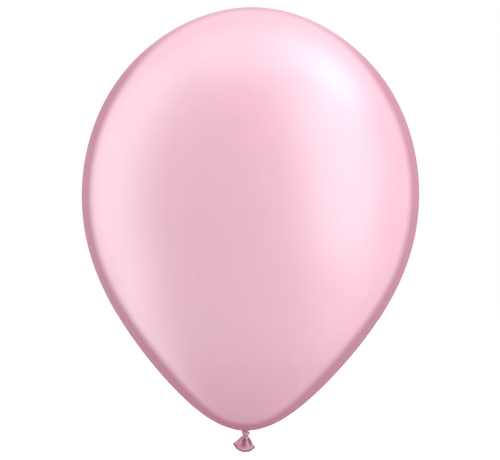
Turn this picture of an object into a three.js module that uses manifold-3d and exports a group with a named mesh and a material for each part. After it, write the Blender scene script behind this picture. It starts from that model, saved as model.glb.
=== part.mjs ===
// A tied latex balloon, 280 mm across the belly, held at its neck.
// Millimetres, +Z up through the crown. The origin is in the neck, on the balloon's axis,
// where the film is gathered between the envelope and the knot.
// The front faces -Y, and the flattened mouth of the tail spreads along X.
import * as THREE from "three";
import { mergeVertices } from "three/addons/utils/BufferGeometryUtils.js";
import Module from "manifold-3d";

const wasm = await Module();
wasm.setup();

// Envelope
const HALF_HEIGHT = 176;
const EGG_RADIUS = 138.8; // gives a belly radius of 140 once the egg terms below are in
const EGG_TERMS = { lift: 0.15, barrel: -0.17, shoulder: 0.159, crown: -0.133 };
const MOUTH_RADIUS = 4.7;
const FILM = 0.3;
const ENVELOPE_RINGS = 27;
const ENVELOPE_SIDES = 48;

// Neck
const GAP = 0.3; // left between touching pieces
const STEM_RADIUS = 4.1;
const STEM_TOP = 0.7;
const STEM_BOTTOM = -0.5;
const KNOT_WIDTH = 7;
const KNOT_DEPTH = 6.8;
const KNOT_CENTRE = -2.65;
const STRAND_RADIUS = 1.25;
const KNOT_CORE_RADIUS = 2.3;
const KNOT_TOP = STEM_BOTTOM - GAP;
const KNOT_BOTTOM = -4.4;
const NECK_SIDES = 40;
const NECK_PLEATS = 8;

// Tail: a flattened cone that hangs from the throat and ends in the rolled lip
const TAIL_PIVOT = -5.1;
const TAIL_LEAN = THREE.MathUtils.degToRad(11);
const THROAT_RADIUS = 1.3;
const THROAT_HALF_HEIGHT = 0.35;
const SKIRT_HALF_ANGLE = THREE.MathUtils.degToRad(38);
const SKIRT_APEX = 3.7; // height of the cone's point above the pivot
const SKIRT_TOP = 4.6; // slant distances from the cone's point
const SKIRT_ROOF = 0.9; // thickness of the closed top
const SHOULDER_SHARE = 0.5; // the spread at the top, as a share of the half angle
const SHOULDER_RUN = 0.25; // the share of the skirt over which it reaches its full spread
const LIP_CORNER = 14.1;
const LIP_DROP = 1.75; // how much further the middle of the lip hangs than its corners
const LIP_RADIUS = 0.85;
const DEPTH_AT_THROAT = 1.5;
const DEPTH_AT_LIP = 4.1;
const WALL_SHARE = 0.88; // inner wall of the skirt, as a share of the outer
const SKIRT_FOLDS = 5;
const FOLD_DEPTH = 0.16;
const SKIRT_RINGS = 7;
const SKIRT_SIDES = 40;

// The film's colour where it is stretched thin, gathered, and left unstretched at the mouth
const STRETCHED = { color: 0xebb9c5, roughness: 0.32, metalness: 0.15 };
const GATHERED = { color: 0xb76e88, roughness: 0.42, metalness: 0.1 };
const UNSTRETCHED = { color: 0xa35a78, roughness: 0.38, metalness: 0.08 };

function namedMesh(name, geometry, finish) {
  const mesh = new THREE.Mesh(geometry, new THREE.MeshStandardMaterial(finish));
  mesh.name = name;
  return mesh;
}

// A lathed solid with its axis along +Z, from a profile of [radius, height] pairs.
function turned(profile, sides) {
  const points = profile.map(([radius, height]) => new THREE.Vector2(radius, height));
  return new THREE.LatheGeometry(points, sides).rotateX(Math.PI / 2);
}

// Moves every vertex of a geometry to where place(x, y, z) puts it.
function reshape(geometry, place) {
  const position = geometry.getAttribute("position");
  for (let i = 0; i < position.count; i += 1) {
    const moved = place(position.getX(i), position.getY(i), position.getZ(i));
    position.setXYZ(i, moved.x, moved.y, moved.z);
  }
  geometry.computeVertexNormals();
  return geometry;
}

function toSolid(geometry) {
  const bare = geometry.index ? geometry.toNonIndexed() : geometry.clone();
  bare.deleteAttribute("normal");
  bare.deleteAttribute("uv");
  const merged = mergeVertices(bare, 1e-4);
  return new wasm.Manifold(
    new wasm.Mesh({
      numProp: 3,
      vertProperties: merged.getAttribute("position").array,
      triVerts: new Uint32Array(merged.index.array),
    }),
  );
}

function toGeometry(solid) {
  const mesh = solid.getMesh();
  const geometry = new THREE.BufferGeometry();
  geometry.setAttribute("position", new THREE.BufferAttribute(mesh.vertProperties, 3));
  geometry.setIndex(new THREE.BufferAttribute(mesh.triVerts, 1));
  geometry.computeVertexNormals();
  return geometry;
}

// How much wider the envelope is than a plain ellipsoid, from the mouth (s = -1) to the crown (s = 1).
function swell(s) {
  const { lift, barrel, shoulder, crown } = EGG_TERMS;
  return 1 + lift * s + barrel * s ** 2 + shoulder * s ** 3 + crown * s ** 5;
}

// The envelope's outline at a turn angle from the mouth (0) to the crown (pi).
function eggPoint(turn) {
  const s = -Math.cos(turn);
  return new THREE.Vector2(EGG_RADIUS * Math.sin(turn) * swell(s), HALF_HEIGHT * (1 + s));
}

function eggNormal(turn) {
  const step = 1e-3;
  const along = eggPoint(turn + step).sub(eggPoint(turn - step)).normalize();
  return new THREE.Vector2(along.y, -along.x);
}

// The blown film: one thin shell of even thickness, open at the mouth.
function envelope() {
  const mouthTurn = Math.asin(MOUTH_RADIUS / (EGG_RADIUS * swell(-1)));
  const outer = [];
  const inner = [];
  for (let ring = 0; ring <= ENVELOPE_RINGS; ring += 1) {
    const turn = mouthTurn + ((Math.PI - mouthTurn) * ring) / ENVELOPE_RINGS;
    const point = eggPoint(turn);
    const inside = point.clone().addScaledVector(eggNormal(turn), -FILM);
    const onAxis = ring === ENVELOPE_RINGS;
    outer.push([onAxis ? 0 : point.x, point.y]);
    inner.push([onAxis ? 0 : inside.x, inside.y]);
  }
  const profile = [...outer, ...inner.reverse(), outer[0]];
  return namedMesh("envelope", turned(profile, ENVELOPE_SIDES), STRETCHED);
}

// Gathered film: a turned solid whose sides run in and out in pleats.
function pleated(profile, depth) {
  return reshape(turned(profile, NECK_SIDES), (x, y, z) => {
    const around = Math.atan2(y, x);
    const share = 1 - depth * (0.5 - 0.5 * Math.cos(NECK_PLEATS * around));
    return new THREE.Vector3(x * share, y * share, z);
  });
}

// The gathered neck, which fills the envelope's mouth and narrows to the knot.
function stem() {
  const profile = [
    [0, STEM_BOTTOM],
    [0.15 * STEM_RADIUS, STEM_BOTTOM],
    [0.8 * STEM_RADIUS, 0],
    [STEM_RADIUS, 0.5 * STEM_TOP],
    [0.93 * STEM_RADIUS, STEM_TOP],
    [0, STEM_TOP],
  ];
  return namedMesh("stem", pleated(profile, 0.08), GATHERED);
}

// One turn of the tied strand: a ring laid round the knot's core at its own slope.
function strandTurn(slopeAboutX, slopeAboutY) {
  const halfWidth = KNOT_WIDTH / 2 - STRAND_RADIUS;
  const halfDepth = KNOT_DEPTH / 2 - STRAND_RADIUS;
  const ring = new THREE.TorusGeometry(1, STRAND_RADIUS / halfWidth, 10, 28);
  ring.scale(halfWidth, halfDepth, halfWidth);
  ring.rotateX(slopeAboutX);
  ring.rotateY(slopeAboutY);
  ring.translate(0, 0, KNOT_CENTRE);
  return toSolid(ring);
}

// The overhand knot, pulled tight until its strands are one lump.
function knot() {
  const core = turned(
    [
      [0, KNOT_BOTTOM],
      [0.45 * KNOT_CORE_RADIUS, 0.97 * KNOT_BOTTOM],
      [KNOT_CORE_RADIUS, KNOT_CENTRE - 0.5],
      [KNOT_CORE_RADIUS, KNOT_CENTRE + 0.3],
      [0.4 * KNOT_CORE_RADIUS, KNOT_TOP - 0.2],
      [0, KNOT_TOP],
    ],
    NECK_SIDES,
  );
  const wraps = [strandTurn(0.22, 0.16), strandTurn(-0.2, -0.1)];
  const lump = wraps.reduce((joined, wrap) => joined.add(wrap), toSolid(core));
  return namedMesh("knot", toGeometry(lump), GATHERED);
}

// The pinched film just under the knot, where the tail bends.
function throat() {
  const profile = [
    [0, -THROAT_HALF_HEIGHT],
    [0.8 * THROAT_RADIUS, -THROAT_HALF_HEIGHT],
    [THROAT_RADIUS, 0],
    [0.5 * THROAT_RADIUS, THROAT_HALF_HEIGHT],
    [0, THROAT_HALF_HEIGHT],
  ];
  return namedMesh("throat", pleated(profile, 0.12), GATHERED);
}

// Slant distance from the cone's point to the middle of the lip's bead, at an angle round the mouth.
function lipSlant(around) {
  return LIP_CORNER + LIP_DROP * Math.sin(around) ** 2;
}

// A point of the flattened cone: share is 0 on its centre line and 1 on its outer face.
function tailPoint(share, around, slant) {
  const run = (slant - SKIRT_TOP) / (LIP_CORNER - SKIRT_TOP);
  const spread = THREE.MathUtils.smoothstep(run, 0, SHOULDER_RUN);
  const shoulder = THREE.MathUtils.lerp(SHOULDER_SHARE, 1, spread);
  const sideways = SKIRT_HALF_ANGLE * shoulder * Math.cos(around) * share;
  const depth = THREE.MathUtils.lerp(DEPTH_AT_THROAT, DEPTH_AT_LIP, run);
  const folding = FOLD_DEPTH * Math.sin(Math.PI * THREE.MathUtils.clamp(run, 0, 1));
  const fold = 1 - folding * (0.5 + 0.5 * Math.cos(SKIRT_FOLDS * around + 0.6));
  return new THREE.Vector3(
    slant * Math.sin(sideways),
    depth * Math.sin(around) * share * fold,
    SKIRT_APEX - slant * Math.cos(sideways),
  );
}

// The flared, flattened end of the neck, open at the bottom.
function tailSkirt() {
  // The lathe's radius carries the share of the wall, and its height the run from throat to lip.
  const profile = [[0, 0]];
  for (let ring = 0; ring <= SKIRT_RINGS; ring += 1) profile.push([1, ring / SKIRT_RINGS]);
  const roof = SKIRT_ROOF / (LIP_CORNER - SKIRT_TOP);
  for (let ring = SKIRT_RINGS; ring >= 0; ring -= 1) {
    profile.push([WALL_SHARE, roof + ((1 - roof) * ring) / SKIRT_RINGS]);
  }
  profile.push([0, roof]);
  const skirt = reshape(turned(profile.reverse(), SKIRT_SIDES), (x, y, run) => {
    const around = Math.atan2(y, x);
    const end = lipSlant(around) - LIP_RADIUS - GAP;
    return tailPoint(Math.hypot(x, y), around, THREE.MathUtils.lerp(SKIRT_TOP, end, run));
  });
  return namedMesh("tail_skirt", skirt, GATHERED);
}

// The rolled bead round the mouth.
function rolledLip() {
  const ring = new THREE.TorusGeometry(1, 0.5, 8, SKIRT_SIDES);
  const middle = (1 + WALL_SHARE) / 2;
  const lip = reshape(ring, (x, y, z) => {
    const around = Math.atan2(y, x);
    const outward = (Math.hypot(x, y) - 1) / 0.5;
    const downward = -z / 0.5;
    const centre = tailPoint(middle, around, lipSlant(around));
    const ahead = tailPoint(middle, around + 0.01, lipSlant(around + 0.01));
    const below = tailPoint(middle, around, lipSlant(around) + 0.1);
    const along = ahead.sub(centre).normalize();
    const down = below.sub(centre);
    down.addScaledVector(along, -down.dot(along)).normalize();
    const side = new THREE.Vector3().crossVectors(down, along);
    return centre
      .addScaledVector(side, LIP_RADIUS * outward)
      .addScaledVector(down, LIP_RADIUS * downward);
  });
  return namedMesh("rolled_lip", lip, UNSTRETCHED);
}

const balloon = new THREE.Group();
balloon.add(envelope(), stem(), knot());

const tail = new THREE.Group();
tail.position.z = TAIL_PIVOT;
tail.rotation.y = TAIL_LEAN;
tail.add(throat(), tailSkirt(), rolledLip());
balloon.add(tail);

export default balloon;
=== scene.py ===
"""A tied latex balloon in pearl pink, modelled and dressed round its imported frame.

The balloon is one dipped film. Each stretch of it that has its own shape or motion is a class of its own:
the blown film, the gathered neck, the tied knot, the pinched throat, the flared tail and the bead round
its mouth. Everything is in metres, with the origin in the neck and +Z up through the crown.
"""

import logging
import math
from collections.abc import Callable
from dataclasses import dataclass, field
from enum import Enum

import bmesh
import bpy
from mathutils import Matrix, Vector


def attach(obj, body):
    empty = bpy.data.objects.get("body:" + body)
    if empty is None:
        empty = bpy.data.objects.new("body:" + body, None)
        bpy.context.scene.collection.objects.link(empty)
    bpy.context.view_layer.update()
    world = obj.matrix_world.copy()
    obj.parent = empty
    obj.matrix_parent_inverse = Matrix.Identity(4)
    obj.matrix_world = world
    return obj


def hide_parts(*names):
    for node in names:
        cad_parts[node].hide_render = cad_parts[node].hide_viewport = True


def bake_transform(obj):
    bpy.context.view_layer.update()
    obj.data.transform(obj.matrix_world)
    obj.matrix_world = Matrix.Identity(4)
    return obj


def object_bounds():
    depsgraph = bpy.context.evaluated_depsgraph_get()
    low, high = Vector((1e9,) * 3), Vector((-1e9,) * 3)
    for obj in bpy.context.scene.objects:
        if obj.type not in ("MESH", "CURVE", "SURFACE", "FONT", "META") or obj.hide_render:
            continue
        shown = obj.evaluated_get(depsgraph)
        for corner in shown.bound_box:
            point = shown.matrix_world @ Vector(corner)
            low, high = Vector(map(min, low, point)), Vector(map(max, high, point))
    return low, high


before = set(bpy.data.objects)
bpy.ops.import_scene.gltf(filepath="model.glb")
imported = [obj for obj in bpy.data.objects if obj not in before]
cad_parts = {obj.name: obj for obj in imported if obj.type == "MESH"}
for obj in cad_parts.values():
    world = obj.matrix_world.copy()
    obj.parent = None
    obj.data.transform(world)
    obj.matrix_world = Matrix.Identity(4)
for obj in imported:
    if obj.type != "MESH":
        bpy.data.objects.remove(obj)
CAD_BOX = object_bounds()

LOG = logging.getLogger("balloon")
MM = 0.001
# The vertex attribute that says how deep in a fold the film lies, which the finish paints as shade.
FOLD_SHADE = "thick"
# How far to the right of the body's axis the knot and the tail hang.
SWAY = 0.8 * MM

Colour = tuple[float, float, float]
Move = Callable[[Vector], Vector]
Test = Callable[[Vector], bool]


# ---------------------------------------------------------------- hand tools


def deselect_everything() -> None:
    """Leaves no object selected and none active."""
    if bpy.context.object and bpy.context.object.mode != "OBJECT":
        bpy.ops.object.mode_set(mode="OBJECT")
    bpy.ops.object.select_all(action="DESELECT")
    bpy.context.view_layer.objects.active = None


def take_up(piece: bpy.types.Object) -> None:
    """Makes one object the only one selected, and the active one.

    Args:
        piece: The object to work on.
    """
    deselect_everything()
    piece.select_set(True)
    bpy.context.view_layer.objects.active = piece


def named(name: str) -> bpy.types.Object:
    """Names the object that an operator has just added.

    Args:
        name: The piece's name, which its mesh gets too.

    Returns:
        The active object.
    """
    piece = bpy.context.active_object
    piece.name = name
    piece.data.name = name
    return piece


def choose(test: Test) -> None:
    """Selects, in edit mode, the vertices that a test picks, and nothing else.

    Args:
        test: Says of a vertex's place whether it is picked.
    """
    bpy.ops.mesh.select_all(action="DESELECT")
    mesh = bpy.context.edit_object.data
    work = bmesh.from_edit_mesh(mesh)
    for vertex in work.verts:
        vertex.select_set(test(vertex.co))
    work.select_flush(True)
    bmesh.update_edit_mesh(mesh)


def press(piece: bpy.types.Object, move: Move) -> None:
    """Pushes each vertex to a new place, as fingers would form the film.

    Args:
        piece: The mesh object to form.
        move: Gives a vertex's new place from its old one.
    """
    for vertex in piece.data.vertices:
        vertex.co = move(vertex.co.copy())
    piece.data.update()


def mark_fold_shade(piece: bpy.types.Object, values: list[float]) -> None:
    """Writes how deep in a fold the film lies at each vertex, for the finish to paint as shade.

    Args:
        piece: The mesh object.
        values: One number from 0 to 1 for each vertex.
    """
    layer = piece.data.attributes.new(FOLD_SHADE, "FLOAT", "POINT")
    for entry, value in zip(layer.data, values):
        entry.value = value


def apply_modifier(piece: bpy.types.Object, kind: str, **settings: object) -> None:
    """Adds a modifier, sets it up and applies it.

    Args:
        piece: The mesh object to work on.
        kind: The modifier's type.
        settings: The modifier's properties and their values.
    """
    take_up(piece)
    modifier = piece.modifiers.new(kind.title(), kind)
    for key, value in settings.items():
        setattr(modifier, key, value)
    bpy.ops.object.modifier_apply(modifier=modifier.name)


def give_wall(piece: bpy.types.Object, thickness: float) -> None:
    """Turns a film's open surface into a closed wall that grows inwards.

    Args:
        piece: The mesh object, with its outer surface in place.
        thickness: The wall's thickness in metres.
    """
    take_up(piece)
    bpy.ops.object.mode_set(mode="EDIT")
    bpy.ops.mesh.select_all(action="SELECT")
    bpy.ops.mesh.remove_doubles(threshold=0.002 * MM)
    bpy.ops.mesh.normals_make_consistent(inside=False)
    bpy.ops.object.mode_set(mode="OBJECT")
    apply_modifier(piece, "SOLIDIFY", thickness=thickness, offset=-1.0, use_rim=True)


def draw_tube(name: str, sides: int, steps: int) -> bpy.types.Object:
    """Draws a ring up into an open tube of one metre's radius, for a piece to be pressed from.

    Args:
        name: The piece's name.
        sides: Facets round the tube.
        steps: Facets along it, each one metre long.

    Returns:
        The tube, in object mode.
    """
    deselect_everything()
    bpy.ops.mesh.primitive_circle_add(vertices=sides, radius=1.0, fill_type="NOTHING")
    tube = named(name)
    bpy.ops.object.mode_set(mode="EDIT")
    bpy.ops.mesh.select_all(action="SELECT")
    for _ in range(steps):
        bpy.ops.mesh.extrude_region_move(TRANSFORM_OT_translate={"value": (0, 0, 1.0)})
    bpy.ops.object.mode_set(mode="OBJECT")
    return tube


def smooth(piece: bpy.types.Object) -> None:
    """Shades a finished piece smooth, with its place in its mesh."""
    take_up(piece)
    bpy.ops.object.transform_apply(location=True, rotation=True, scale=True)
    bpy.ops.object.shade_smooth()


def ease(share: float) -> float:
    """Goes smoothly from 0 to 1 as a share does, and stays there outside that."""
    held = min(1.0, max(0.0, share))
    return held * held * (3.0 - 2.0 * held)


def mix(low: float, high: float, share: float) -> float:
    """The value at a share of the way from low to high."""
    return low + (high - low) * share


# ---------------------------------------------------------------- shader maths


class Amount:
    """A number that varies over a surface; sums and products of amounts add Math nodes."""

    def __init__(self, board: "NodeBoard", socket: bpy.types.NodeSocket) -> None:
        """Wraps a socket of a board."""
        self.board = board
        self.socket = socket

    def _math(self, operation: str, *operands: "Amount | float") -> "Amount":
        """Adds one Math node on these operands."""
        node = self.board.node("ShaderNodeMath", {"operation": operation}, list(operands))
        return Amount(self.board, node.outputs[0])

    def __add__(self, other: "Amount | float") -> "Amount":
        """The sum."""
        return self._math("ADD", self, other)

    __radd__ = __add__

    def __mul__(self, other: "Amount | float") -> "Amount":
        """The product."""
        return self._math("MULTIPLY", self, other)

    __rmul__ = __mul__

    def __sub__(self, other: "Amount | float") -> "Amount":
        """The difference."""
        return self._math("SUBTRACT", self, other)

    def __rsub__(self, other: "Amount | float") -> "Amount":
        """A plain number less this amount."""
        return self._math("SUBTRACT", other, self)

    def sine(self) -> "Amount":
        """Its sine, in radians."""
        return self._math("SINE", self)

    def angle_with(self, other: "Amount") -> "Amount":
        """The angle of the point (other, self) round the origin."""
        return self._math("ARCTAN2", self, other)

    def between(self, low: float, high: float) -> "Amount":
        """Runs smoothly from 0 at low to 1 at high; low may be the larger."""
        settings = {"interpolation_type": "SMOOTHSTEP", "clamp": True}
        sockets = {"Value": self, "From Min": low, "From Max": high}
        node = self.board.node("ShaderNodeMapRange", settings, sockets)
        return Amount(self.board, node.outputs["Result"])


class NodeBoard:
    """The node tree of a material or a world, cleared and ready to be filled."""

    def __init__(self, owner: bpy.types.Material | bpy.types.World) -> None:
        """Clears the owner's node tree."""
        owner.use_nodes = True
        self.owner = owner
        self.tree = owner.node_tree
        self.tree.nodes.clear()

    def node(
        self,
        kind: str,
        settings: dict[str, object] | None = None,
        sockets: dict[str | int, object] | list[object] | None = None,
    ) -> bpy.types.Node:
        """Adds a node.

        Args:
            kind: The node's type.
            settings: Its own properties, such as an operation, which are set first.
            sockets: Values or links for its inputs, by name or number, or in order as a list.

        Returns:
            The node.
        """
        node = self.tree.nodes.new(kind)
        for key, value in (settings or {}).items():
            setattr(node, key, value)
        pairs = sockets.items() if isinstance(sockets, dict) else enumerate(sockets or [])
        for key, value in pairs:
            self.put(node.inputs[key], value)
        return node

    def put(self, socket: bpy.types.NodeSocket, value: object) -> None:
        """Links an amount or an output to an input, or sets a plain value on it."""
        if isinstance(value, Amount):
            self.tree.links.new(value.socket, socket)
        elif isinstance(value, bpy.types.NodeSocket):
            self.tree.links.new(value, socket)
        elif isinstance(value, tuple) and len(value) == 3 and socket.type == "RGBA":
            socket.default_value = (*value, 1.0)
        else:
            socket.default_value = value

    def place(self) -> bpy.types.NodeSocket:
        """The surface point in the balloon's own frame, in metres."""
        return self.node("ShaderNodeTexCoord").outputs["Object"]

    def axes(self, point: bpy.types.NodeSocket) -> tuple[Amount, Amount, Amount]:
        """A point's x, y and z as three amounts."""
        split = self.node("ShaderNodeSeparateXYZ", {}, [point])
        return tuple(Amount(self, output) for output in split.outputs)

    def noise(self, point: bpy.types.NodeSocket, grain: float, detail: float, rough: float) -> Amount:
        """Soft noise from 0 to 1 with a grain of this size in metres."""
        sockets = {"Vector": point, "Scale": 1.0 / grain, "Detail": detail, "Roughness": rough}
        return Amount(self, self.node("ShaderNodeTexNoise", {}, sockets).outputs["Fac"])

    def tint(self, share: Amount, low: Colour, high: Colour) -> bpy.types.NodeSocket:
        """A colour between two, by a share."""
        node = self.node("ShaderNodeMix", {"data_type": "RGBA"}, {0: share, 6: low, 7: high})
        return node.outputs[2]

    def bump(self, height: Amount, depth: float) -> bpy.types.NodeSocket:
        """A normal pushed about by a height, depth metres from trough to crest."""
        sockets = {"Strength": 1.0, "Distance": depth, "Height": height}
        return self.node("ShaderNodeBump", {}, sockets).outputs["Normal"]

    def principled(self, sockets: dict[str, object]) -> bpy.types.NodeSocket:
        """Adds a Principled shader with these inputs."""
        return self.node("ShaderNodeBsdfPrincipled", {}, sockets).outputs["BSDF"]

    def blend(
        self, share: Amount, first: bpy.types.NodeSocket, second: bpy.types.NodeSocket
    ) -> bpy.types.NodeSocket:
        """A mix of two shaders, by a share."""
        return self.node("ShaderNodeMixShader", {}, [share, first, second]).outputs["Shader"]

    def finish(self, shader: bpy.types.NodeSocket) -> bpy.types.Material:
        """Puts the shader on the surface and hands the material over."""
        self.node("ShaderNodeOutputMaterial", {}, {"Surface": shader})
        return self.owner


# The flakes' own colour, which is the same all over the balloon.
PEARL = (0.64, 0.82, 0.86)


class FilmState(Enum):
    """How far a stretch of the film is from the way it left the mould."""

    BLOWN = "stretched_film"
    GATHERED = "gathered_film"
    UNSTRETCHED = "unstretched_film"


@dataclass(frozen=True)
class PearlLatex:
    """Dyed latex with a layer of pearl flakes in it.

    Attributes:
        state: Whether the film is blown, gathered or unstretched.
        body: The dyed film's own colour.
        deep: Its deeper colour, for denser film and also for painted shade in folds and on the underside.
        edge: The colour of the painted rim shade, a darker matte colour mixed in where a face turns away
            from the eye.
        rim_shade_starts: How far a face must turn away before that painted shade begins, from 0 to 1.
        rim_shade_full: How far it must turn away before that painted shade is full.
        rim_shade_share: How strong that painted shade is when it is full.
        pearl: The share of light that meets a flake.
        flake_roughness: How far the flakes spread their gloss.
        skin_roughness: How far the rubber's own skin spreads its gloss.
        skin_gloss: How strong that gloss is.
        cloud: The size of the pigment's faint clouds.
        grain: The size of the skin's fine grain.
        grain_depth: The depth of that grain.
    """

    state: FilmState
    body: Colour
    deep: Colour
    edge: Colour
    rim_shade_starts: float = 0.615
    rim_shade_full: float = 0.755
    rim_shade_share: float = 0.92
    pearl: float = 0.32
    flake_roughness: float = 0.43
    skin_roughness: float = 0.3
    skin_gloss: float = 0.2
    cloud: float = 16 * MM
    grain: float = 0.9 * MM
    grain_depth: float = 0.004 * MM

    def material(self) -> bpy.types.Material:
        """Builds the finish.

        Returns:
            The material, with its patterns in the balloon's own frame.
        """
        board = NodeBoard(bpy.data.materials.new(f"pearl_latex_{self.state.name.lower()}"))
        point = board.place()
        clouds = board.noise(point, self.cloud, 3.0, 0.55)
        flakes = board.noise(point, 0.35 * MM, 2.0, 0.7)
        skin = board.noise(point, self.grain, 2.0, 0.5)
        normal = board.bump(skin * 0.7 + flakes * 0.3, self.grain_depth)
        thickness = self.thickness(board, point, clouds)
        film = board.principled(
            {
                "Base Color": board.tint(thickness, self.body, self.deep),
                "Roughness": self.skin_roughness + (clouds - 0.5) * 0.04,
                "IOR": 1.45,
                "Specular IOR Level": self.skin_gloss,
                "Normal": normal,
            }
        )
        pearl = board.principled(
            {
                "Base Color": PEARL,
                "Metallic": 1.0,
                "Roughness": self.flake_roughness + (flakes - 0.5) * 0.05,
                "Normal": normal,
            }
        )
        # A darker matte shader without gloss, for painted rim shade at the outline.
        edge = board.principled(
            {
                "Base Color": board.tint(thickness * 0.4, self.edge, self.deep),
                "Roughness": 0.5,
                "Specular IOR Level": 0.0,
                "Normal": normal,
            }
        )
        # Fewer flakes show where the film is denser and where painted shade lies.
        lustre = (self.pearl + (clouds - 0.5) * 0.06 + (flakes - 0.5) * 0.05) * (1.0 - thickness * 0.4)
        face = board.blend(lustre, film, pearl)
        # Painted rim shade is mixed over the finish by how far each face turns from the eye.
        return board.finish(board.blend(self.painted_rim_shade_share(board, point), face, edge))

    def painted_rim_shade_share(self, board: NodeBoard, point: bpy.types.NodeSocket) -> Amount:
        """How much painted rim shade shows, by how far a face turns from the eye; it starts sooner
        towards the neck and is narrower and weaker towards the crown.

        Args:
            board: The material's node board.
            point: The surface point.

        Returns:
            The share, from 0 on a face seen square on.
        """
        # Layer Weight's Facing paints shade here by view angle, not gloss.
        facing = Amount(board, board.node("ShaderNodeLayerWeight", {}, {"Blend": 0.5}).outputs["Facing"])
        height = board.axes(point)[2]
        # The painted rim shade widens low down, and narrows and fades towards the crown.
        wider_below = height.between(150 * MM, 30 * MM) * 0.07
        narrower_above = height.between(270 * MM, 345 * MM) * 0.12
        strength = self.rim_shade_share - height.between(280 * MM, 350 * MM) * 0.5
        return (facing + wider_below - narrower_above).between(self.rim_shade_starts, self.rim_shade_full) * strength

    def thickness(self, board: NodeBoard, point: bpy.types.NodeSocket, clouds: Amount) -> Amount:
        """How deep the film's colour runs, from 0 where it is blown thinnest to 1 in the neck; partly
        real film thickness, partly painted shade.

        Args:
            board: The material's node board.
            point: The surface point.
            clouds: The pigment's faint clouds.

        Returns:
            The thickness with its painted shade, which deepens the colour.
        """
        if self.state is not FilmState.BLOWN:
            # The fold depth deepens the gathered film's colour: painted shade in the folds.
            folded = board.node("ShaderNodeAttribute", {"attribute_name": FOLD_SHADE}).outputs["Fac"]
            return (clouds - 0.3) * 0.5 + Amount(board, folded) * 0.9
        x, y, z = board.axes(point)
        streaks = (y.angle_with(x) * 17.0 + clouds * 5.0).sine() * 0.5 + 0.5
        # Darker over the lowest 100 mm: partly the film growing denser towards the neck, partly painted
        # shade on the underside; the streaks in the last 22 mm are dip streaks.
        neck = z.between(100 * MM, 5 * MM) * 0.5 + z.between(22 * MM, 0.0) * (0.3 + streaks * 0.2)
        top = CAD_BOX[1].z
        crown = z.between(top - 7 * MM, top) * 0.3
        return (clouds - 0.5) * 0.22 + 0.06 + neck + crown


# ---------------------------------------------------------------- the balloon's pieces


@dataclass(frozen=True)
class EggOutline:
    """The blown film's outline, a turned egg that is full above and tapers to the neck.

    Attributes:
        half_height: Half the egg's height.
        radius: The radius that the swell multiplies.
    """

    half_height: float = 176 * MM
    radius: float = 138.8 * MM

    def swell(self, s: float) -> float:
        """How much wider it is than a plain ellipsoid, from the neck (s = -1) to the crown (s = 1)."""
        return 1 + 0.15 * s - 0.17 * s**2 + 0.159 * s**3 - 0.133 * s**5


@dataclass
class Piece:
    """One stretch of the balloon.

    Attributes:
        name: The piece's name.
        stands_for: The CAD node that it replaces.
        finish: The finish that it is dressed in.
        made: The finished object, once it is built.
    """

    name: str
    stands_for: str
    finish: PearlLatex
    made: bpy.types.Object | None = field(default=None, init=False)

    def dress(self) -> None:
        """Gives the piece its material and its slot, and lets it stand for its CAD node."""
        self.made.data.materials.clear()
        self.made.data.materials.append(self.finish.material())
        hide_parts(self.stands_for)

    def report(self) -> None:
        """Logs the piece's size and its number of faces."""
        size = [round(side / MM, 1) for side in self.made.dimensions]
        LOG.info("%s: %s mm, %d faces", self.name, size, len(self.made.data.polygons))


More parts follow.
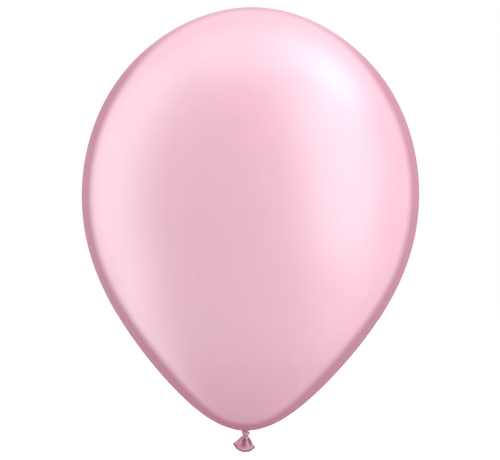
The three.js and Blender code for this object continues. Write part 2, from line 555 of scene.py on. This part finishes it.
@dataclass
class BlownFilm(Piece):
    """The envelope: a thin egg of film, puckered where it runs into the neck.

    Attributes:
        outline: The egg's outline.
        sides: Facets round the egg.
        rings: Facets from the neck to the crown.
        wall: The film's thickness.
        mouth_radius: Where the egg ends and its rim turns in under the neck's flare.
        pucker_reach: How far from the axis the puckers fade out.
        puckers: How many puckers there are.
    """

    outline: EggOutline = EggOutline()
    sides: int = 168
    rings: int = 132
    wall: float = 0.15 * MM
    mouth_radius: float = 4.8 * MM
    pucker_reach: float = 24 * MM
    puckers: int = 14

    def build(self) -> None:
        """Models the film from a sphere, ring by ring, and turns its mouth in."""
        deselect_everything()
        bpy.ops.mesh.primitive_uv_sphere_add(segments=self.sides, ring_count=self.rings, radius=1.0)
        self.made = named(self.name)
        bpy.ops.object.mode_set(mode="EDIT")
        for ring in range(1, self.rings):
            height = -math.cos(math.pi * ring / self.rings)
            choose(lambda at, level=height: abs(at.z - level) < 1e-4)
            wide = self.outline.radius * self.outline.swell(height)
            bpy.ops.transform.resize(value=(wide, wide, 1.0), center_override=(0.0, 0.0, height))
        bpy.ops.mesh.select_all(action="SELECT")
        bpy.ops.transform.translate(value=(0.0, 0.0, 1.0))
        bpy.ops.transform.resize(
            value=(1.0, 1.0, self.outline.half_height), center_override=(0.0, 0.0, 0.0)
        )
        self.open_mouth()
        bpy.ops.object.mode_set(mode="OBJECT")
        press(self.made, self.pucker)
        give_wall(self.made, self.wall)
        smooth(self.made)

    def open_mouth(self) -> None:
        """Cuts the tip away and turns the rim that is left in, under the neck's flare."""
        choose(lambda at: at.z < 2 * MM and math.hypot(at.x, at.y) < 0.9 * self.mouth_radius)
        bpy.ops.mesh.delete(type="VERT")
        bpy.ops.mesh.select_all(action="DESELECT")
        bpy.ops.mesh.select_non_manifold()
        for narrow, drop in ((0.92, 0.03), (0.9, 0.02), (0.88, 0.02), (0.86, 0.03), (0.85, 0.08)):
            bpy.ops.mesh.extrude_region_move(TRANSFORM_OT_translate={"value": (0, 0, -drop * MM)})
            bpy.ops.transform.resize(value=(narrow, narrow, 1.0), center_override=(0, 0, 0))

    def pucker(self, at: Vector) -> Vector:
        """Draws the film near the neck into shallow radial puckers.

        Args:
            at: A point of the film.

        Returns:
            The point once it is puckered.
        """
        away = math.hypot(at.x, at.y)
        if at.z > 20 * MM or away > self.pucker_reach:
            return at
        around = math.atan2(at.y, at.x)
        fade = ease(1.0 - away / self.pucker_reach) ** 1.6
        uneven = 1.0 + 0.5 * math.sin(3 * around + 1.1) + 0.3 * math.sin(5 * around + 0.4)
        ripple = math.cos(self.puckers * around + 0.5 * math.sin(2 * around))
        depth = 0.32 * MM * fade * uneven * ripple
        lift = depth * ease((away - 3.8 * MM) / (4 * MM))
        return Vector((at.x, at.y, at.z + lift))

    def fit(self) -> None:
        """Bakes the film's place into its mesh."""
        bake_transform(self.made)


@dataclass
class GatheredNeck(Piece):
    """The neck between the film and the knot, a trumpet drawn into tight pleats.

    Attributes:
        radius: The neck's radius inside the knot.
        flare: The radius that it opens to where it meets the film.
        top: The height of that wide end, inside the film's wall.
        length: How far it runs down, into the knot.
        sides: Facets round the neck.
        steps: Facets from its top to its bottom.
        pleats: How many pleats it is gathered into.
        pleat_share: The pleats' depth, as a share of the radius.
    """

    radius: float = 2.45 * MM
    flare: float = 3.9 * MM
    top: float = 0.2 * MM
    length: float = 2.1 * MM
    sides: int = 168
    steps: int = 20
    pleats: int = 14
    pleat_share: float = 0.12

    def build(self) -> None:
        """Models the neck from a ring that is drawn down and in, step by step."""
        deselect_everything()
        bpy.ops.mesh.primitive_circle_add(vertices=self.sides, radius=self.flare, fill_type="NOTHING")
        self.made = named(self.name)
        bpy.ops.object.mode_set(mode="EDIT")
        bpy.ops.mesh.select_all(action="SELECT")
        bpy.ops.transform.translate(value=(0.0, 0.0, self.top))
        wide = self.flare
        for step in range(self.steps):
            narrower = mix(self.flare, self.radius, 1.0 - (1.0 - (step + 1) / self.steps) ** 4)
            share = narrower / wide
            wide = narrower
            down = (0.0, 0.0, -self.length / self.steps)
            bpy.ops.mesh.extrude_region_move(TRANSFORM_OT_translate={"value": down})
            bpy.ops.transform.resize(value=(share, share, 1.0), center_override=(0, 0, 0))
        bpy.ops.object.mode_set(mode="OBJECT")
        press(self.made, self.pleat)
        give_wall(self.made, 0.3 * MM)
        smooth(self.made)

    def pleat(self, at: Vector) -> Vector:
        """Draws a point in where it lies between two pleats, and over to where the knot sits."""
        around = math.atan2(at.y, at.x)
        wave = math.cos(self.pleats * around + 0.5 * math.sin(2 * around))
        strength = self.pleat_share * ease((self.top - at.z) / (1.2 * MM))
        share = 1.0 - strength * (0.5 - 0.5 * wave)
        sway = SWAY * ease((self.top - at.z) / (1.6 * MM))
        return Vector((at.x * share + sway, at.y * share, at.z))

    def fit(self) -> None:
        """Bakes the neck's place into its mesh."""
        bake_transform(self.made)


@dataclass
class TiedKnot(Piece):
    """The overhand knot: one pleated strand of film tied round itself and pulled tight.

    Attributes:
        centre: The knot's middle.
        strand: The strand's radius.
        spread: Half the distance between the strand's outer bends, across, in depth and in height.
        flutes: How many pleats run along the strand.
        end_share: The strand's thickness where it runs out of the knot, to its thickness inside.
        core: Half the size of the lump that the turns are pulled into, in width, depth and height.
        voxel: The grain at which the tight turns are pressed into one lump.
    """

    centre: Vector = field(default_factory=lambda: Vector((SWAY, 0.0, -2.6 * MM)))
    strand: float = 1.5 * MM
    spread: Vector = field(default_factory=lambda: Vector((2.0, 1.05, 0.06)) * MM)
    flutes: int = 7
    end_share: float = 1.35
    core: Vector = field(default_factory=lambda: Vector((3.3, 2.8, 1.95)) * MM)
    voxel: float = 0.085 * MM

    def path(self, t: float) -> Vector:
        """The strand's line, an overhand knot whose ends run out along the neck.

        Args:
            t: From -2 at the bottom end to 2 at the top end.

        Returns:
            The point on the strand's line.
        """
        tied = Vector(
            (
                -0.5 * self.spread.x * (t**3 - 3 * t),
                -self.spread.y * (t**4 - 4 * t**2 + 2),
                self.spread.z * (t**5 - 10 * t),
            )
        )
        out = ease((abs(t) - 1.55) / 0.35)
        along = math.copysign(1.1 * MM + 1.2 * MM * max(0.0, abs(t) - 1.55) / 0.45, t)
        return self.centre + tied.lerp(Vector((0.0, 0.0, along)), out)

    def section(self) -> bpy.types.Object:
        """The strand's section, a ring with a dent between each pair of pleats.

        Returns:
            The curve object that the strand is swept with.
        """
        bpy.ops.curve.primitive_nurbs_circle_add(radius=self.strand)
        ring = named("strand_section")
        points = 4 * self.flutes
        spline = ring.data.splines[0]
        spline.points.add(points - len(spline.points))
        for index, point in enumerate(spline.points):
            turn = 2 * math.pi * index / points
            reach = self.strand * (1.0 + 0.1 * math.cos(self.flutes * turn))
            point.co = (reach * math.cos(turn), 0.9 * reach * math.sin(turn), 0.0, 1.0)
        return ring

    def build(self) -> None:
        """Sweeps the strand along its line and presses its turns into one lump."""
        deselect_everything()
        section = self.section()
        bpy.ops.curve.primitive_nurbs_path_add(radius=1.0)
        self.made = named(self.name)
        spline = self.made.data.splines[0]
        steps = 48
        spline.points.add(steps + 1 - len(spline.points))
        for index, point in enumerate(spline.points):
            t = mix(-2.0, 2.0, index / steps)
            point.co = (*self.path(t), 1.0)
            swell = ease((abs(t) - 1.45) / 0.3) - 0.6 * ease((abs(t) - 1.8) / 0.2)
            point.radius = mix(1.0, self.end_share, swell)
        spline.use_endpoint_u = True
        self.made.data.bevel_mode = "OBJECT"
        self.made.data.bevel_object = section
        self.made.data.use_fill_caps = True
        self.made.data.resolution_u = 4
        take_up(self.made)
        bpy.ops.object.convert(target="MESH")
        bpy.data.objects.remove(section)
        bpy.ops.object.mode_set(mode="EDIT")
        bpy.ops.mesh.primitive_uv_sphere_add(
            segments=48, ring_count=24, radius=1.0, location=self.centre, scale=self.core
        )
        bpy.ops.object.mode_set(mode="OBJECT")
        apply_modifier(self.made, "REMESH", mode="VOXEL", voxel_size=self.voxel)
        apply_modifier(self.made, "SMOOTH", factor=0.5, iterations=4)
        smooth(self.made)

    def fit(self) -> None:
        """Lets the knot ride on its body."""
        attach(self.made, "knot")


@dataclass(frozen=True)
class Fold:
    """A valley that runs down one face of the tail.

    Attributes:
        middle: Where it lies across the face, from -1 at the left to 1 at the right.
        width: Half its width, on the same scale.
        depth: Its depth, as a share of the tail's own.
    """

    middle: float
    width: float
    depth: float


@dataclass(frozen=True)
class TailShape:
    """The flattened cone that the neck opens into below the knot, and how it folds.

    Attributes:
        pivot: The height of the pinch under the knot, where the tail bends.
        lean: How far the tail hangs to the left of straight down.
        half_angle: Half the angle that it spreads across the front.
        apex: The height of the cone's point above the pivot.
        top: The slant distance from that point to the pinch.
        seam: The slant distance at which the pinch's shoulders end over the tail.
        corner: The slant distance to the bead at the corners of the mouth.
        drop: How much further the middle of the mouth hangs.
        throat_depth: Half the tail's thickness at the pinch.
        mouth_depth: Half its thickness at the mouth.
        front: The folds in its front face.
        back: The folds in its back face.
    """

    pivot: float = -5.1 * MM
    lean: float = math.radians(8)
    half_angle: float = math.radians(38)
    apex: float = 3.7 * MM
    top: float = 3.7 * MM
    seam: float = 5.8 * MM
    corner: float = 14.1 * MM
    drop: float = 1.75 * MM
    throat_depth: float = 1.9 * MM
    mouth_depth: float = 4.1 * MM
    front: tuple[Fold, ...] = (Fold(-0.14, 0.38, 0.88), Fold(0.72, 0.18, 0.9))
    back: tuple[Fold, ...] = (Fold(0.32, 0.26, 0.75), Fold(-0.55, 0.22, 0.7))

    def bead_slant(self, around: float) -> float:
        """The slant distance to the bead's middle, at an angle round the mouth."""
        return self.corner + self.drop * math.sin(around) ** 2

    def fold(self, around: float, run: float) -> float:
        """The wall's distance from the middle plane, as a share of the unfolded depth.

        Args:
            around: The angle round the tail; the front is at minus a quarter turn.
            run: From 0 at the pinch to 1 at the bead.

        Returns:
            The share, near 1 on a crest and near 0 in a deep fold.
        """
        across = math.cos(around)
        share = 1.0
        for valley in self.front if math.sin(around) < 0 else self.back:
            spread = valley.width * mix(0.75, 1.0, run)
            share -= valley.depth * math.exp(-(((across - valley.middle) / spread) ** 2))
        strength = ease((run - 0.05) / 0.25) * (1.0 - ease((run - 0.45) / 0.5))
        gathers = 0.05 * math.cos(13 * around + 1.5 * math.sin(around)) * (1.0 - run) ** 2
        return mix(1.0, share, strength) - gathers * ease(run / 0.12)

    def hollow(self, around: float, slant: float) -> float:
        """How deep in a fold the wall lies, from 0 on a crest to near 1 in a deep fold."""
        return 1.0 - self.fold(around, (slant - self.top) / (self.corner - self.top))

    def point(self, around: float, slant: float, snug: float = 1.0) -> Vector:
        """A point of the tail's outer face, in the balloon's frame.

        Args:
            around: The angle round the tail.
            slant: The distance from the cone's point.
            snug: The share that the tail's width and depth are drawn in to.

        Returns:
            The point in metres.
        """
        run = min(1.0, max(0.0, (slant - self.top) / (self.corner - self.top)))
        tuck = mix(0.82, 1.0, ease(run / 0.09)) * snug
        sideways = self.half_angle * math.cos(around) * tuck * mix(1.0, 1.03, math.sin(math.pi * run))
        depth = mix(self.throat_depth, self.mouth_depth, run**0.8) * tuck
        flat = Vector(
            (
                slant * math.sin(sideways),
                depth * math.sin(around) * self.fold(around, run),
                self.apex - slant * math.cos(sideways),
            )
        )
        leaned = Matrix.Rotation(self.lean, 3, "Y") @ flat
        return leaned + Vector((SWAY, 0.0, self.pivot))


@dataclass
class PinchedThroat(Piece):
    """The pinch under the knot, where the strand opens into the tail.

    Attributes:
        shape: The tail's shape, whose upper edge this meets.
        sides: Facets round the pinch.
        steps: Facets from its bottom to its top.
        shoulders: The share of those that lie on the tail; the rest run up into the knot.
        pleats: How many pleats run through the pinch.
        wall: The film's thickness.
    """

    shape: TailShape = TailShape()
    sides: int = 120
    steps: int = 24
    shoulders: float = 0.6
    pleats: int = 9
    wall: float = 0.12 * MM

    def build(self) -> None:
        """Models the pinch from a ring that is drawn up into the knot."""
        self.made = draw_tube(self.name, self.sides, self.steps)
        # The fold depth is written for the finish to paint as shade.
        mark_fold_shade(self.made, [self.hollow(vertex.co) for vertex in self.made.data.vertices])
        press(self.made, self.draw)
        give_wall(self.made, self.wall)
        smooth(self.made)

    def slant(self, at: Vector) -> float:
        """The slant distance on the tail at which a point of the plain tube comes to lie."""
        share = min(1.0, at.z / self.steps / self.shoulders)
        return mix(self.shape.seam, self.shape.top, share)

    def hollow(self, at: Vector) -> float:
        """How deep in a fold a point of the plain tube comes to lie, from 0 to 1."""
        return self.shape.hollow(math.atan2(at.y, at.x), self.slant(at))

    def draw(self, at: Vector) -> Vector:
        """Places a point of a plain tube, one metre a step, on the pinch.

        Args:
            at: The tube's point.

        Returns:
            The point on the pinch, which widens over the tail's top and runs up into the knot.
        """
        around = math.atan2(at.y, at.x)
        rise = at.z / self.steps
        tail = self.shape.point(around, self.slant(at))
        inside = max(0.0, rise - self.shoulders) / (1.0 - self.shoulders)
        wide = mix(1.0, 0.6, ease(inside))
        pleat = 1.0 - 0.1 * ease(2 * rise - 0.6) * (0.5 - 0.5 * math.cos(self.pleats * around))
        across = (tail.x - SWAY) * wide * pleat + SWAY
        level = mix(tail.z, self.shape.pivot + 1.2 * MM, inside)
        return Vector((across, tail.y * wide * pleat, level))

    def fit(self) -> None:
        """Bakes the pinch's place into its mesh."""
        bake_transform(self.made)


@dataclass
class FlaredTail(Piece):
    """The flattened, folded end of the neck, open at its mouth.

    Attributes:
        shape: The tail's shape.
        sides: Facets round the tail.
        rings: Facets from the pinch to the mouth.
        wall: The unstretched film's thickness.
        overlap: How far its top runs up inside the pinch's shoulders.
        snug: The share that its top is drawn in to, to fit inside them.
    """

    shape: TailShape = TailShape()
    sides: int = 160
    rings: int = 60
    wall: float = 0.3 * MM
    overlap: float = 0.6 * MM
    snug: float = 0.94

    def build(self) -> None:
        """Models the tail from a ring that is drawn down step by step, then folded."""
        self.made = draw_tube(self.name, self.sides, self.rings)
        # The fold depth is written for the finish to paint as shade.
        mark_fold_shade(self.made, [self.hollow(vertex.co) for vertex in self.made.data.vertices])
        press(self.made, self.drape)
        give_wall(self.made, self.wall)
        smooth(self.made)

    def hollow(self, at: Vector) -> float:
        """How deep in a fold a point of the plain tube comes to lie, from 0 to 1."""
        around = math.atan2(at.y, at.x)
        return self.shape.hollow(around, mix(self.shape.seam, self.shape.corner, at.z / self.rings))

    def drape(self, at: Vector) -> Vector:
        """Places a point of a plain tube, one metre a ring, on the folded tail."""
        around = math.atan2(at.y, at.x)
        slant = mix(self.shape.seam - self.overlap, self.shape.bead_slant(around), at.z / self.rings)
        snug = mix(self.snug, 1.0, ease((slant - self.shape.seam + 0.15 * MM) / (0.2 * MM)))
        return self.shape.point(around, slant, snug)

    def fit(self) -> None:
        """Bakes the tail's place into its mesh."""
        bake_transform(self.made)


@dataclass
class MouthBead(Piece):
    """The rolled bead round the tail's mouth.

    Attributes:
        shape: The tail's shape, whose lower edge the bead follows.
        radius: The bead's radius.
    """

    shape: TailShape = TailShape()
    radius: float = 0.82 * MM

    def build(self) -> None:
        """Models the bead from a torus that is laid along the mouth."""
        deselect_everything()
        bpy.ops.mesh.primitive_torus_add(
            major_segments=180, minor_segments=22, major_radius=1.0, minor_radius=0.5
        )
        self.made = named(self.name)
        press(self.made, self.lay)
        take_up(self.made)
        bpy.ops.object.mode_set(mode="EDIT")
        bpy.ops.mesh.select_all(action="SELECT")
        bpy.ops.mesh.normals_make_consistent(inside=False)
        bpy.ops.object.mode_set(mode="OBJECT")
        smooth(self.made)

    def lay(self, at: Vector) -> Vector:
        """Places a point of a plain torus on the bead.

        Args:
            at: The torus's point; its tube has a radius of half a metre.

        Returns:
            The point on the bead.
        """
        around = math.atan2(at.y, at.x)
        outward = (math.hypot(at.x, at.y) - 1.0) / 0.5
        downward = -at.z / 0.5
        slant = self.shape.bead_slant(around)
        centre = self.shape.point(around, slant)
        ahead = self.shape.point(around + 0.01, self.shape.bead_slant(around + 0.01))
        above = self.shape.point(around, slant - 0.3 * MM)
        along = (ahead - centre).normalized()
        down = centre - above
        down = (down - along * down.dot(along)).normalized()
        side = down.cross(along)
        tube = math.atan2(downward, outward)
        uneven = 1.0 + 0.04 * math.sin(5 * around + 0.7) + 0.03 * math.sin(11 * around)
        roll = 1.0 - 0.16 * math.exp(-(((tube - 2.2) / 0.3) ** 2))
        reach = self.radius * uneven * roll
        return centre - side * 0.15 * MM + (side * outward + down * downward) * reach

    def fit(self) -> None:
        """Lets the bead ride on the tail."""
        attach(self.made, "tail")


# ---------------------------------------------------------------- the studio


@dataclass(frozen=True)
class SoftBox:
    """A soft box that faces the balloon's middle.

    Attributes:
        name: The light's name.
        azimuth: Its direction from the balloon, from the front (0) to the right (90), in degrees.
        elevation: Its height above the horizon, in degrees.
        width: Its width in metres.
        height: Its height in metres.
        radiance: How bright its face is.
    """

    name: str
    azimuth: float
    elevation: float
    width: float
    height: float
    radiance: float

    def place(self, middle: Vector, distance: float) -> None:
        """Hangs the light at a distance from the balloon's middle."""
        turn = math.radians(self.azimuth)
        rise = math.radians(self.elevation)
        away = Vector(
            (math.sin(turn) * math.cos(rise), -math.cos(turn) * math.cos(rise), math.sin(rise))
        )
        bpy.ops.object.light_add(type="AREA", location=middle + away * distance)
        lamp = bpy.context.active_object
        lamp.name = self.name
        lamp.data.shape = "RECTANGLE"
        lamp.data.size = self.width
        lamp.data.size_y = self.height
        lamp.data.energy = math.pi * self.width * self.height * self.radiance
        lamp.rotation_euler = away.to_track_quat("Z", "Y").to_euler()
        lamp.visible_camera = False


@dataclass
class Studio:
    """A plain pale floor, soft light and the camera.

    Attributes:
        lens: The camera's focal length in millimetres.
        view_width: The width of the camera's view at the balloon's axis.
        aim: The point that the camera looks at.
        roll: How far the camera is turned about its own line of sight.
        floor_drop: How far the floor lies under the tail's lowest point.
        surround: The brightness of the room round the lights.
        distance: How far the lights hang from the balloon's middle.
    """

    lens: float = 100.0
    view_width: float = 417.8 * MM
    aim: Vector = field(default_factory=lambda: Vector((0.3, 0.0, 167.2)) * MM)
    roll: float = 0.024
    floor_drop: float = 260 * MM
    surround: float = 0.9
    distance: float = 1.1

    def camera(self) -> None:
        """Puts the camera level with the balloon's middle, straight in front."""
        data = bpy.data.cameras.new("camera")
        data.lens = self.lens
        eye = bpy.data.objects.new("camera", data)
        bpy.context.scene.collection.objects.link(eye)
        back = self.view_width * self.lens / data.sensor_width
        upright = Matrix.Rotation(math.pi / 2, 4, "X") @ Matrix.Rotation(self.roll, 4, "Z")
        eye.matrix_world = Matrix.Translation(self.aim + Vector((0.0, -back, 0.0))) @ upright
        bpy.context.scene.camera = eye

    def room(self) -> None:
        """Makes the surround: white to the eye, and softly grey as a light."""
        world = bpy.data.worlds.new("surround")
        bpy.context.scene.world = world
        board = NodeBoard(world)
        seen = board.node("ShaderNodeLightPath").outputs["Is Camera Ray"]
        sockets = {"Value": seen, "To Min": self.surround, "To Max": 1.0}
        strength = board.node("ShaderNodeMapRange", {}, sockets).outputs["Result"]
        sockets = {"Color": (1.0, 1.0, 1.0), "Strength": strength}
        background = board.node("ShaderNodeBackground", {}, sockets).outputs["Background"]
        board.node("ShaderNodeOutputWorld", {}, {"Surface": background})

    def floor(self) -> None:
        """Lays a plain white floor well under the balloon."""
        deselect_everything()
        level = CAD_BOX[0].z - self.floor_drop
        bpy.ops.mesh.primitive_circle_add(
            vertices=96, radius=6.0, fill_type="NGON", location=(0.0, 0.0, level)
        )
        floor = named("floor")
        board = NodeBoard(bpy.data.materials.new("white_floor"))
        glow = board.principled(
            {
                "Base Color": (0.4, 0.4, 0.4),
                "Roughness": 0.9,
                "Emission Color": (1.0, 1.0, 1.0),
                "Emission Strength": 0.95,
            }
        )
        floor.data.materials.append(board.finish(glow))
        floor.visible_diffuse = False
        floor.visible_glossy = False

    def lights(self, boxes: list[SoftBox]) -> None:
        """Hangs the soft boxes round the balloon's middle.

        Args:
            boxes: The lights.
        """
        deselect_everything()
        middle = Vector((0.0, 0.0, 180 * MM))
        for box in boxes:
            box.place(middle, self.distance)

    def set_up(self, boxes: list[SoftBox]) -> None:
        """Sets up the whole studio, with true colours."""
        self.camera()
        self.room()
        self.floor()
        self.lights(boxes)
        bpy.context.scene.view_settings.view_transform = "Standard"


# Each deep colour serves denser film and also painted shade in folds and on the underside.
# Each finish's edge colour is painted rim shade.
BLOWN = PearlLatex(
    FilmState.BLOWN, body=(0.92, 0.36, 0.47), deep=(0.55, 0.15, 0.25), edge=(0.46, 0.22, 0.3)
)
GATHERED = PearlLatex(
    FilmState.GATHERED,
    body=(0.66, 0.24, 0.35),
    deep=(0.25, 0.08, 0.13),
    edge=(0.4, 0.12, 0.2),
    pearl=0.2,
    cloud=2.5 * MM,
    grain=0.3 * MM,
)
UNSTRETCHED = PearlLatex(
    FilmState.UNSTRETCHED,
    body=(0.43, 0.13, 0.21),
    deep=(0.34, 0.08, 0.15),
    edge=(0.3, 0.08, 0.14),
    pearl=0.12,
    cloud=2.0 * MM,
    grain=0.25 * MM,
)

SOFT_BOXES = [
    SoftBox("right_bank", azimuth=62, elevation=15, width=1.1, height=2.0, radiance=1.05),
    SoftBox("left_bank", azimuth=-95, elevation=5, width=1.0, height=2.0, radiance=0.85),
    SoftBox("top_box", azimuth=0, elevation=85, width=0.8, height=0.8, radiance=0.65),
    SoftBox("right_crown_box", azimuth=100, elevation=65, width=0.7, height=0.6, radiance=0.7),
    SoftBox("left_crown_box", azimuth=-95, elevation=60, width=0.7, height=0.6, radiance=0.6),
    SoftBox("right_low_box", azimuth=85, elevation=-35, width=0.9, height=0.7, radiance=0.45),
    SoftBox("left_low_box", azimuth=-115, elevation=-42, width=0.6, height=0.5, radiance=0.6),
    SoftBox("key_strip", azimuth=95, elevation=52, width=0.24, height=0.5, radiance=2.6),
]


def main() -> None:
    """Sets up the studio, builds each piece, dresses it, fits it and logs its size; the knot and the bead
    ride on bodies.
    """
    logging.basicConfig(level=logging.INFO, format="%(name)s %(message)s")
    Studio().set_up(SOFT_BOXES)
    pieces = [
        BlownFilm("blown_film", "envelope", BLOWN),
        GatheredNeck("gathered_neck", "stem", GATHERED),
        TiedKnot("tied_knot", "knot", GATHERED),
        PinchedThroat("pinched_throat", "throat", GATHERED),
        FlaredTail("flared_tail", "tail_skirt", GATHERED),
        MouthBead("mouth_bead", "rolled_lip", UNSTRETCHED),
    ]
    for piece in pieces:
        piece.build()
        piece.dress()
        piece.fit()
        piece.report()
    deselect_everything()


if __name__ == "__main__":
    main()
